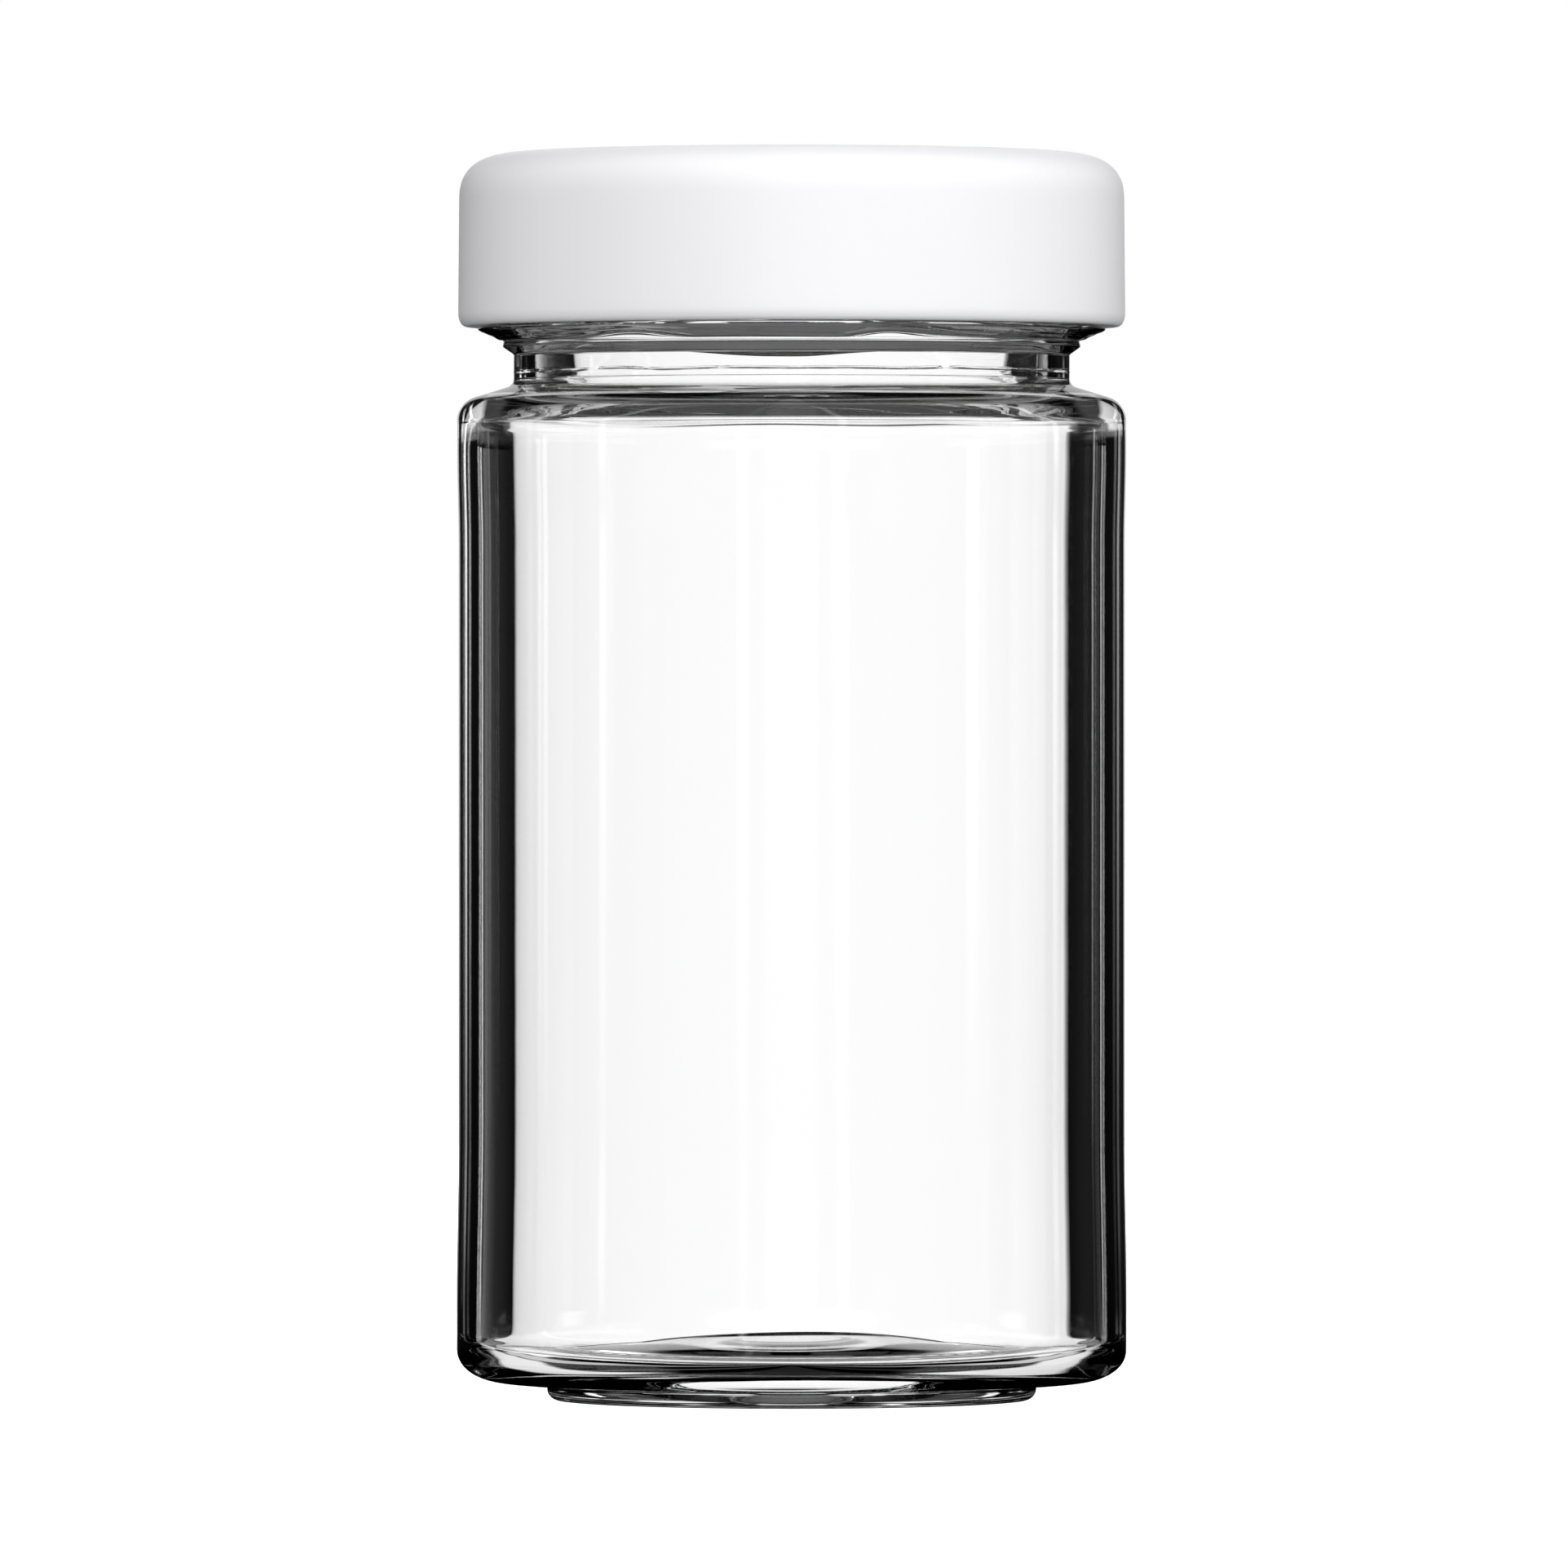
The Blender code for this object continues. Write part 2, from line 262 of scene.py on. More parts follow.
class StageSizes(bpy.types.PropertyGroup):
    """Camera and table."""

    eye_height: size("Eye height", "Height of the camera", 0.0719)
    eye_distance: size("Eye distance", "From the camera to the jar's axis", 1.822)
    aim_height: size("Aim height", "Height that the camera looks at", 0.0639)
    eye_side: size("Eye side", "How far the camera stands beside the axis", 0.0008)
    lens: bpy.props.FloatProperty(
        name="Lens", description="Focal length in millimetres", default=403.1, min=20
    )
    floor_radius: size("Floor radius", "Radius of the pale floor", 6.0)
    ground: tint("Floor", "Colour of the pale floor", "#F2F2F2")


def add_node(tree, kind, values=None, **settings):
    """Adds a node with its settings, and with values or links for its sockets."""
    made = tree.nodes.new(kind)
    for name, value in settings.items():
        if name != "stops":
            setattr(made, name, value)
            continue
        elements = made.color_ramp.elements
        while len(elements) < len(value):
            elements.new(1)
        for element, (place, shade) in zip(elements, value):
            element.position = place
            element.color = (shade, shade, shade, 1)
    for socket, value in (values or {}).items():
        if isinstance(value, bpy.types.NodeSocket):
            tree.links.new(value, made.inputs[socket])
        else:
            made.inputs[socket].default_value = value
    return made


def new_material(name):
    """An empty node material and its tree."""
    made = bpy.data.materials.new(name)
    made.use_nodes = True
    made.node_tree.nodes.clear()
    return made, made.node_tree


def darker(colour, share):
    """A colour with alpha at a share of its brightness."""
    return [c * share for c in colour] + [1]


def outline(corners):
    """A wire in the XZ plane through corners (radius, height, fillet, segments, longest edge)."""
    bm = bmesh.new()
    points = [Vector((c[0], 0, c[1])) for c in corners]
    verts = [bm.verts.new(point) for point in points]
    for pair in zip(verts, verts[1:]):
        bm.edges.new(pair)
    for i, corner in enumerate(corners):
        if corner[2]:
            opening = (points[i - 1] - points[i]).angle(points[i + 1] - points[i])
            bmesh.ops.bevel(
                bm, geom=[verts[i]], offset=corner[2] / math.tan(opening / 2),
                offset_type="OFFSET", segments=corner[3], profile=0.5, affect="VERTICES",
                material=-1, clamp_overlap=True,
            )
    for start, end, corner in zip(points, points[1:], corners):
        if corner[4]:
            for edge in [e for e in bm.edges if lies_on(e, start, end)]:
                cuts = math.ceil(edge.calc_length() / corner[4]) - 1
                if cuts > 0:
                    bmesh.ops.subdivide_edges(bm, edges=[edge], cuts=cuts)
    return bm


def lies_on(edge, start, end):
    """Whether both ends of an edge lie on the straight line between two points."""
    line = (end - start).normalized()
    return all(
        (v.co - start).cross(line).length < MERGE
        and -MERGE < (v.co - start).dot(line) < (end - start).length + MERGE
        for v in edge.verts
    )


def turned(bm, blocks):
    """Spins the wire about the Z axis into a closed round and turns its faces outward.

    A short arc is spun first and then repeated, because one long spin takes many times longer.
    """
    block = 2 * math.pi / blocks
    axis = {"cent": (0, 0, 0), "axis": (0, 0, 1), "dvec": (0, 0, 0)}
    bmesh.ops.spin(
        bm, geom=bm.verts[:] + bm.edges[:], angle=block, steps=BLOCK_STEPS, use_merge=False, **axis
    )
    bmesh.ops.spin(
        bm, geom=bm.verts[:] + bm.edges[:] + bm.faces[:], angle=2 * math.pi - block,
        steps=blocks - 1, use_duplicate=True, **axis
    )
    bmesh.ops.remove_doubles(bm, verts=bm.verts, dist=MERGE)
    bmesh.ops.recalc_face_normals(bm, faces=bm.faces)
    return bm


def new_piece(name, bm, material, body, node):
    """Makes the mesh a piece that rides on its body and stands for its CAD node."""
    mesh = bpy.data.meshes.new(name)
    bm.to_mesh(mesh)
    bm.free()
    mesh.shade_smooth()
    mesh.set_sharp_from_angle(angle=SHARP_ANGLE)
    mesh.materials.append(material)
    piece = bpy.data.objects.new(name, mesh)
    bpy.context.scene.collection.objects.link(piece)
    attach(piece, body)
    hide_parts(node)
    return piece


def eased(start, end, count, longest):
    """Corners between two radii on a smooth run that is upright at both ends."""
    made = []
    for i in range(count):
        share = i / (count - 1)
        r = start[0] + (end[0] - start[0]) * (1 - math.cos(math.pi * share)) / 2
        made.append((r, start[1] + (end[1] - start[1]) * share, 0, 0, longest))
    return made


def quarter(radius, run, height, drop, power, count):
    """Corners on a soft quarter from upright at radius to level, run further in."""
    made = []
    for i in range(count):
        angle = math.pi / 2 * i / (count - 1)
        r = radius - run + run * math.cos(angle) ** (2 / power)
        made.append((r, height + drop * math.sin(angle) ** (2 / power), 0, 0, 0))
    return made


def mound(edge_radius, edge_height, rise, power, count):
    """Corners from the axis out over a smooth mound, flatter on top for a higher power."""
    made = []
    for i in range(count):
        share = i / (count - 1)
        height = edge_height + rise * math.cos(math.pi / 2 * share**power) ** 2
        made.append((edge_radius * share, height, 0, 0, 0))
    return made


def hump(value):
    """1 at 0, falling smoothly to 0 at 1 and -1 and staying there."""
    return math.cos(math.pi / 2 * value) ** 2 if abs(value) < 1 else 0.0


def around(vert):
    """Radius and angle of a vertex, the angle from 0 to a full turn."""
    return math.hypot(vert.co.x, vert.co.y), math.atan2(vert.co.y, vert.co.x) % (2 * math.pi)


def noise_place(angle, turn, rise=0.0):
    """A place in the noise that closes on itself round the jar."""
    return Vector((math.cos(angle) * turn, math.sin(angle) * turn, rise))


def push_out(vert, radius, amount):
    """Moves a vertex outward from the axis by an amount."""
    share = (radius + amount) / radius
    vert.co.x *= share
    vert.co.y *= share


def crown_height(radius, lid):
    """Height of the lid's outer skin over a radius on its soft corner."""
    across = max(0, (radius - (lid.radius - lid.draft - CROWN_RUN)) / CROWN_RUN)
    return LID_HIGH.z - CROWN_DROP * (1 - (1 - across**CROWN_POWER) ** (1 / CROWN_POWER))


def jar_levels(jar):
    """Heights that follow from the jar's sizes, by name."""
    neck_base = jar.body_height + NECK_BASE_RISE
    neck_top = neck_base + NECK_HEIGHT
    collar_top = neck_top + COLLAR_TOP
    return {
        "neck_base": neck_base,
        "neck_top": neck_top,
        "collar_top": collar_top,
        "bead_top": collar_top + BEAD_FLANK,
        "rim": SEAL_LOW.z - SEAT_GAP,
        "heel_top": FOOT_HEIGHT + HEEL_RISE + HEEL_BAND,
    }


def jar_corners(jar):
    """The glass's whole section, from the middle of the floor inside to the middle underneath."""
    at = jar_levels(jar)
    neck_bore = jar.neck_radius - NECK_WALL
    shoulder = jar.panel_radius + jar.shoulder_stand
    heel = jar.panel_radius + jar.heel_stand
    collar_top, bead_top = at["collar_top"], at["bead_top"]
    band_foot = jar.body_height - SHOULDER_BAND
    lower = eased(
        (jar.panel_radius, at["heel_top"] + PANEL_FOOT), (heel, at["heel_top"]),
        count=9, longest=0.012,
    )
    upper = eased(
        (shoulder, band_foot), (jar.panel_radius, band_foot - PANEL_HEAD), count=7, longest=0.012
    )
    wall = [(c[0] - jar.wall, *c[1:]) for c in (*lower[::-1], *upper[::-1])]
    floor = mound(FLOOR_RADIUS, jar.floor, FLOOR_CROWN, FLOOR_POWER, count=20)
    floor[-1] = floor[-1][:4] + (0.0012,)
    # Each corner's radius, height, fillet, segments in the fillet, and longest edge after it
    rounds = [
        (heel - jar.wall, jar.floor, 0.0022, 8, 0.003),
        *wall,
        (shoulder - jar.wall, jar.body_height - INNER_SHOULDER_DROP, 0.00165, 8, 0.001),
        (neck_bore - NECK_LEAN, at["neck_base"] - INNER_NECK_DROP, 0.0020, 6, 0.0008),
        (neck_bore, bead_top + BORE_RISE, 0.004, 3, 0.0015),
        (jar.mouth_radius, at["rim"], RIM_ROUND, 6, 0.0005),
        (jar.finish_radius, at["rim"], RIM_ROUND, 6, 0.002),
        (jar.finish_radius, THREAD_TOP, 0, 0, FINE_ROW),
        (jar.finish_radius, bead_top + BEAD_SHELF, 0.0003, 3, 0.0005),
        (jar.bead_radius, bead_top, 0.0003, 5, FINE_ROW),
        (jar.collar_radius - COLLAR_LEAN, collar_top, 0.00015, 4, 0.0001),
        (jar.collar_radius - COLLAR_NICK, collar_top - COLLAR_LIP, 0.0001, 3, 0.0001),
        (jar.collar_radius - COLLAR_LEAN, collar_top - COLLAR_NICK_FOOT, 0.0001, 3, 0.0001),
        (jar.collar_radius, collar_top - COLLAR_STEP, 0.0002, 4, 0.00015),
        (jar.neck_radius, at["neck_top"], 0.0003, 4, 0.00008),
        (jar.neck_radius, at["neck_base"], 0.0009, 6, 0.0004),
        (shoulder, jar.body_height, 0.0024, 14, 0.0006),
        (shoulder, jar.body_height - SHOULDER_TOP, 0, 0, 0.0008),
    ]
    corner = quarter(heel, HEEL_RUN, FOOT_HEIGHT + HEEL_RISE, -HEEL_RISE, HEEL_POWER, count=16)
    bearing = jar.foot_radius - BEARING_WIDTH
    hollow = bearing - PUSH_UP_EDGE
    foot = [
        (corner[-1][0], FOOT_HEIGHT, 0, 0, 0.0005),
        (jar.foot_radius, FOOT_HEIGHT, 0.0004, 4, 0.0004),
        (jar.foot_radius, 0, 0.0012, 7, 0.0003),
        (bearing, 0, 0.0007, 5, 0.0003),
        (hollow, PUSH_UP_EDGE, 0, 0, 0),
    ]
    under = mound(hollow, PUSH_UP_EDGE, jar.push_up - PUSH_UP_EDGE, power=1, count=10)[-2::-1]
    return floor + rounds + upper + lower + corner[:-1] + foot + under


def shape_glass(bm, jar):
    """Raises the threads and mould marks, and lays soft waves where the glass set unevenly."""
    at = jar_levels(jar)
    knurls = jar.foot_radius - KNURL_INSET
    for vert in bm.verts:
        r, angle = around(vert)
        z = vert.co.z
        if r < MERGE:
            continue
        outside = r > jar.finish_radius - 2 * MERGE
        if outside and at["bead_top"] + BEAD_SHELF < z < at["rim"] - RIM_ROUND:
            push_out(vert, r, jar.thread_height * thread_share(angle, z))
            continue
        if abs(z) < MERGE:
            # Knurls on the bearing ring let air under the jar on the belt and take its scratches
            row = hump((r - knurls) / KNURL_WIDTH)
            vert.co.z += KNURL_DEPTH * row * (1 - math.cos(KNURL_COUNT * angle)) / 2
            continue
        push_out(vert, r, jar.waviness * set_waves(r, angle, z, at))
        on_collar = r > jar.collar_radius - COLLAR_INSET
        if on_collar and at["collar_top"] - COLLAR_LIP < z < at["bead_top"]:
            lift = collar_rise(r, angle, z, at)
            vert.co.z += lift
            push_out(vert, r, COLLAR_FOLLOW * lift)
        if abs(r - jar.neck_radius) < MERGE:
            push_out(vert, r, jar.ring_height * neck_ring(angle, z))
        elif r > jar.neck_radius and z < at["neck_base"]:
            # Two seams, at the sides, that fade in over the heel
            off = (angle + math.pi / 2) % math.pi - math.pi / 2
            shown = min(1, max(0, z / SEAM_FOOT - 2))
            push_out(vert, r, SEAM_HEIGHT * hump(off * r / SEAM_WIDTH) * shown)
    return bm


def set_waves(r, angle, z, at):
    """Soft waves, long around the jar and short up it, at the base and from the shoulder up."""
    if z >= at["rim"] - WAVES_UNDER_RIM:
        return 0
    if z > at["neck_base"]:
        share = 1 if z > at["neck_top"] else WAVES_NECK
    else:
        high = min(1, (z - WAVES_HIGH) / WAVES_HIGH_FADE)
        share = max(high, min(1, (WAVES_LOW - z) / WAVES_LOW_FADE))
    if share <= 0:
        return 0
    return share * noise.noise(noise_place(angle, WAVE_TURN, z / WAVE_RISE + r / WAVE_RUN))


def collar_rise(r, angle, z, at):
    """How far the collar's top edge runs up the bead's flank, uneven round the jar."""
    up = (z - at["collar_top"]) / BEAD_FLANK
    share = 1 - up if up > 0 else 1 + (z - at["collar_top"]) / COLLAR_LIP
    place = noise_place(angle, 1)
    lift = COLLAR_RISE * max(0, noise.noise(place * COLLAR_TURN + COLLAR_SEED) + COLLAR_SHARE)
    ripple = noise.noise(place * FLANK_TURN + Vector((0, 0, r / FLANK_STEP)))
    return share * (min(COLLAR_MOST, lift) + FLANK_WAVES * ripple)


def neck_ring(angle, z):
    """The fine line where the neck ring met the mould, a little wavy and broken."""
    place = noise_place(angle, RING_TURN)
    level = RING_LEVEL + RING_WANDER * noise.noise(place)
    level += RING_TREMBLE * noise.noise(place * RING_JITTER)
    share = RING_SHARE + noise.noise(place * RING_BREAKS + RING_SEED)
    return max(0, min(1, share)) * hump((z - level) / RING_WIDTH)


def thread_share(angle, z):
    """How far up its ramp's round profile a point of the finish lies, from 0 to 1."""
    share = 0.0
    for start in range(THREADS):
        along = (angle - start * 2 * math.pi / THREADS) % (2 * math.pi)
        if along > THREAD_LENGTH:
            continue
        level = THREAD_LEVEL + max(0, along - THREAD_FLAT) * THREAD_RISE
        ends = min(1, along / THREAD_END, (THREAD_LENGTH - along) / THREAD_END)
        share = max(share, hump((z - level) / THREAD_WIDTH) * max(0, ends))
    return share


def glass_material(jar):
    """Flint glass, blown in a mould: clear, with a fire-polished skin and no tint to see."""
    made, tree = new_material("flint_glass")
    place = add_node(tree, "ShaderNodeTexCoord")
    # Chill waves left by the mould, about 6 mm apart and far too low to feel
    waves = add_node(
        tree, "ShaderNodeTexNoise",
        {"Vector": place.outputs["Object"], "Scale": 1 / (6 * MM), "Detail": 1},
    )
    skin = add_node(
        tree, "ShaderNodeBump",
        {"Height": waves.outputs["Fac"], "Strength": 0.05, "Distance": 0.02 * MM},
    )
    glass = add_node(
        tree, "ShaderNodeBsdfPrincipled",
        {
            "Base Color": (*jar.glass, 1), "Roughness": 0.0, "IOR": 1.52,
            "Transmission Weight": 1.0, "Normal": skin.outputs["Normal"],
        },
    )
    # Light passes to what stands behind, so the glass casts the faint shadow of the real one
    path = add_node(tree, "ShaderNodeLightPath")
    clear = add_node(tree, "ShaderNodeBsdfTransparent", {"Color": linear("#F8F9F9")})
    mixed = add_node(
        tree, "ShaderNodeMixShader",
        {0: path.outputs["Is Shadow Ray"], 1: glass.outputs[0], 2: clear.outputs[0]},
    )
    add_node(tree, "ShaderNodeOutputMaterial", {"Surface": mixed.outputs[0]})
    return made


def lacquer_material(lid):
    """White polyester lacquer, roller coated on tinplate and baked: satin, with a faint peel."""
    made, tree = new_material("baked_white_lacquer")
    place = add_node(tree, "ShaderNodeTexCoord")
    # Orange peel with humps 0.5 mm apart, and a slow cloud in the colour and sheen of the bake
    peel = add_node(
        tree, "ShaderNodeTexNoise",
        {"Vector": place.outputs["Object"], "Scale": 1 / (0.5 * MM), "Detail": 2},
    )
    skin = add_node(
        tree, "ShaderNodeBump",
        {"Height": peel.outputs["Fac"], "Strength": 0.15, "Distance": 0.01 * MM},
    )
    cloud = add_node(
        tree, "ShaderNodeTexNoise",
        {"Vector": place.outputs["Object"], "Scale": 1 / (14 * MM), "Detail": 3},
    )
    shade = add_node(
        tree, "ShaderNodeMix",
        {
            FACTOR: cloud.outputs["Fac"], COLOUR_A: darker(lid.lacquer, 0.985),
            COLOUR_B: (*lid.lacquer, 1),
        },
        data_type="RGBA",
    )
    gloss = add_node(
        tree, "ShaderNodeMapRange",
        {"Value": cloud.outputs["Fac"], "To Min": 0.34, "To Max": 0.40},
    )
    paint = add_node(
        tree, "ShaderNodeBsdfPrincipled",
        {
            "Base Color": shade.outputs[MIXED_COLOUR], "Roughness": gloss.outputs[0],
            "IOR": 1.5, "Specular IOR Level": 0.3, "Normal": skin.outputs["Normal"],
        },
    )
    add_node(tree, "ShaderNodeOutputMaterial", {"Surface": paint.outputs[0]})
    return made


def compound_material(seal):
    """Foamed plastisol, poured in hot and set: soft, slightly waxy and matt."""
    made, tree = new_material("plastisol_compound")
    place = add_node(tree, "ShaderNodeTexCoord")
    # Pores of the foam, 0.6 mm apart
    pores = add_node(
        tree, "ShaderNodeTexNoise",
        {"Vector": place.outputs["Object"], "Scale": 1 / (0.6 * MM), "Detail": 3},
    )
    skin = add_node(
        tree, "ShaderNodeBump",
        {"Height": pores.outputs["Fac"], "Strength": 0.3, "Distance": 0.03 * MM},
    )
    # The colour is darker where the bump sinks into the pores: painted shade in the pores
    shade = add_node(
        tree, "ShaderNodeMix",
        {
            FACTOR: pores.outputs["Fac"], COLOUR_A: darker(seal.compound, 0.93),
            COLOUR_B: (*seal.compound, 1),
        },
        data_type="RGBA",
    )
    soft = add_node(
        tree, "ShaderNodeBsdfPrincipled",
        {
            "Base Color": shade.outputs[MIXED_COLOUR], "Roughness": 0.55,
            "Normal": skin.outputs["Normal"],
        },
    )
    add_node(tree, "ShaderNodeOutputMaterial", {"Surface": soft.outputs[0]})
    return made


class CANNING_OT_jar(bpy.types.Operator):
    """Turn the glass jar and raise its threads and mould marks"""

    bl_idname = "canning.jar"
    bl_label = "Glass jar"

    def execute(self, context):
        jar = context.scene.canning_jar
        bm = shape_glass(turned(outline(jar_corners(jar)), JAR_BLOCKS), jar)
        new_piece("clear_jar", bm, glass_material(jar), "jar", "glass_jar")
        return {"FINISHED"}


def lid_corners(lid):
    """The lid's outer skin, from the middle of its top to the end of the curl."""
    top = LID_HIGH.z
    panel = top - lid.panel_depth
    crown = lid.radius - lid.draft - CROWN_RUN
    # Each corner's radius, height, fillet, segments in the fillet, and longest edge after it
    corners = [
        (0, panel + lid.button_height, 0, 0, 0.001),
        (lid.button_radius - BUTTON_SLOPE, panel + lid.button_height, 0.004, 8, 0),
        (lid.button_radius, panel, 0.004, 8, 0.0015),
        (crown - LAND_WIDTH - PANEL_RUN, panel, 0.0008, 6, 0),
        (crown - LAND_WIDTH, top, 0.0006, 6, 0),
    ]
    soft = quarter(
        lid.radius - lid.draft, CROWN_RUN, top - CROWN_DROP, CROWN_DROP, CROWN_POWER, count=22
    )[::-1]
    soft[-1] = soft[-1][:4] + (0.001,)
    curl = []
    for i in range(CURL_STEPS + 1):
        angle = CURL_SWEEP * i / CURL_STEPS
        r = lid.radius - lid.curl_width / 2 * (1 - math.cos(angle))
        curl.append((r, LID_LOW.z + lid.curl_height / 2 * (1 - math.sin(angle)), 0, 0, 0))
    return corners + soft + curl


def press_lugs(bm, lid):
    """Presses the inner side of the curl in at even places, as the dies that form lugs do."""
    middle = lid.radius - lid.curl_width / 2
    centre_height = LID_LOW.z + lid.curl_height / 2
    pitch = 2 * math.pi / lid.lug_count
    for vert in bm.verts:
        r, angle = around(vert)
        if vert.co.z > LID_LOW.z + lid.curl_height + MERGE or r > middle:
            continue
        off_middle = abs((angle - LUG_CENTRE + pitch / 2) % pitch - pitch / 2)
        if off_middle > LUG_SPREAD / 2:
            continue
        along = min(1, 2 * (1 - 2 * off_middle / LUG_SPREAD))
        along = along * along * (3 - 2 * along)
        depth = math.sqrt((middle - r) / (lid.curl_width / 2))
        push_out(vert, r, -lid.lug_reach * along * depth)
        flat = 1 - (1 - lid.lug_thickness / lid.curl_height) * along * depth
        vert.co.z = centre_height + (vert.co.z - centre_height) * flat
    return bm


class CANNING_OT_lid(bpy.types.Operator):
    """Turn the tinplate lid, roll its curl and press its lugs"""

    bl_idname = "canning.lid"
    bl_label = "Twist-off lid"

    def execute(self, context):
        lid = context.scene.canning_lid
        bm = press_lugs(turned(outline(lid_corners(lid)), LID_BLOCKS), lid)
        lacquer = lacquer_material(lid)
        piece = new_piece("white_lid", bm, lacquer, "lid", "lid_shell")
        sheet = piece.modifiers.new("sheet", "SOLIDIFY")
        sheet.thickness = lid.sheet
        sheet.offset = -1
        sheet.use_even_offset = True
        return {"FINISHED"}


class CANNING_OT_seal(bpy.types.Operator):
    """Turn the ring of sealing compound, with the groove that the rim has pressed"""

    bl_idname = "canning.seal"
    bl_label = "Seal"

    def execute(self, context):
        seal, lid, jar = (getattr(context.scene, "canning_" + n) for n in ("seal", "lid", "jar"))
        inner = jar.mouth_radius - seal.inner_overhang
        outer = jar.finish_radius + seal.outer_overhang
        under = lid.sheet + SEAT_GAP
        top = [inner + (outer - inner) * i / SEAL_STEPS for i in range(SEAL_STEPS + 1)]
        corners = [(r, crown_height(r, lid) - under, 0, 0, 0) for r in top]
        low = SEAL_LOW.z
        middle = (jar.mouth_radius + jar.finish_radius) / 2
        half = jar.finish_radius - middle
        corners.append((outer, low, 0.0003, 5, 0))
        for i in range(DENT_STEPS + 1):
            side = 1 - 2 * i / DENT_STEPS
            corners.append((middle + half * side, low + seal.dent * hump(side), 0, 0, 0))
        corners += [(inner, low, 0.0003, 5, 0), corners[0]]
        bm = turned(outline(corners), SEAL_BLOCKS)
        compound = compound_material(seal)
        new_piece("seal_ring", bm, compound, "seal", "sealing_ring")
        return {"FINISHED"}


# What the clear glass finds behind the jar, by the angle round it in each quarter turn: a white
# window, dark flags beside it, and pale screens between them. (angle in degrees, brightness)
WINDOW = (
    (-45, 0), (-7.7, 0), (-7.35, 0.92), (-6.5, 1.02), (-3, 1.12), (0, 1.19), (4, 1.16),
    (5.5, 1.10), (6.6, 1.10), (7.1, 1.15), (7.5, 0), (45, 0),
)
SCREENS = (
    (-45, 1.15), (-36.6, 1.1), (-36.4, 1.6), (-27, 2.6), (-24.5, 2.4), (-22, 1.5), (-19.5, 0.85),
    (-16.5, 0.3), (-14.3, 0.12), (-11.5, 0.031), (-9.8, 0.022), (-7.7, 0.004), (-7, 0),
    (7, 0), (7.5, 0.003), (10, 0.015), (12, 0.018), (14.7, 0.022), (16.9, 0.1), (20.2, 0.5),
    (27, 1.9), (36.4, 1.6), (45, 1.15),
)
# The same for light that has run inside the glass: strips that draw the thin line by each edge,
# the window again for the foot and shoulder, the open room past the flags and over them, and
# pale cards low between the window and the flags' outer ends
EDGE_STRIPS = (
    (-45, 0), (-20.5, 0), (-19, 2.4), (-17.5, 2.4), (-16.5, 0.2), (-14, 0),
    (14.5, 0), (17, 0.8), (18.5, 0.5), (20, 0), (45, 0),
)
INNER_WINDOW = ((-45, 0), (-6, 0), (-5, 1.1), (5, 1.1), (6, 0), (45, 0))
PAST_FLAGS = ((-45, 0.6), (-40, 0.6), (-38, 0), (38, 0), (40, 0.6), (45, 0.6))
OVER_FLAGS = ((-45, 0.06), (-34, 0.06), (-30, 1), (30, 1), (34, 0.06), (45, 0.06))
LOW_CARDS = (
    (-45, 0), (-38, 0), (-36, 0.9), (-9, 0.9), (-7, 0),
    (7, 0), (9, 0.9), (36, 0.9), (38, 0), (45, 0),
)
# The same for what the skin of the glass and lacquer mirror
MIRRORED = ((-45, 0.02), (-9, 0.02), (-8, 0.6), (8, 0.6), (9, 0.02), (45, 0.02))
# How far each reaches up and down: (height angle in degrees, share)
WINDOW_RISE = ((-90, 0.1), (-40, 0.1), (-34, 1), (9, 1), (11, 0.02), (90, 0.02))
SCREEN_RISE = ((-10, 1), (0.95, 1), (1.05, 0.01), (10, 0.01))
STRIP_RISE = ((-2, 0.05), (-1.6, 0.1), (-0.6, 0.55), (0.5, 1), (3, 1))
INNER_RISE = ((-90, 0.01), (-21, 0.02), (-17, 1), (-6, 1), (-4, 0), (90, 0))
PAST_RISE = ((-90, 0.1), (-60, 0.5), (-52, 1), (-28, 1), (-25, 0), (90, 0))
HIGH_RISE = ((-90, 0), (3.5, 0), (5, 1), (19, 1), (21.5, 0), (90, 0))
CARD_RISE = ((-90, 0), (-39, 0), (-37, 1), (-24, 1), (-22, 0), (90, 0))
MIRROR_RISE = ((-90, 0), (-3, 0), (0, 1), (90, 1))
# Plain light on what is matt, in the open and behind the glass
AMBIENT = 0.28
INSIDE = 0.3


def spread(tree, value, table):
    """A number that follows a table of angles and brightness."""
    reach = table[-1][0] - table[0][0]
    scale = max(row[1] for row in table)
    share = add_node(
        tree, "ShaderNodeMapRange",
        {
            "Value": value, "From Min": math.radians(table[0][0]),
            "From Max": math.radians(table[-1][0]),
        },
    )
    ramp = add_node(
        tree, "ShaderNodeValToRGB", {0: share.outputs[0]},
        stops=[((angle - table[0][0]) / reach, shade / scale) for angle, shade in table],
    )
    made = add_node(tree, "ShaderNodeMath", {0: ramp.outputs[0], 1: scale}, operation="MULTIPLY")
    return made.outputs[0]


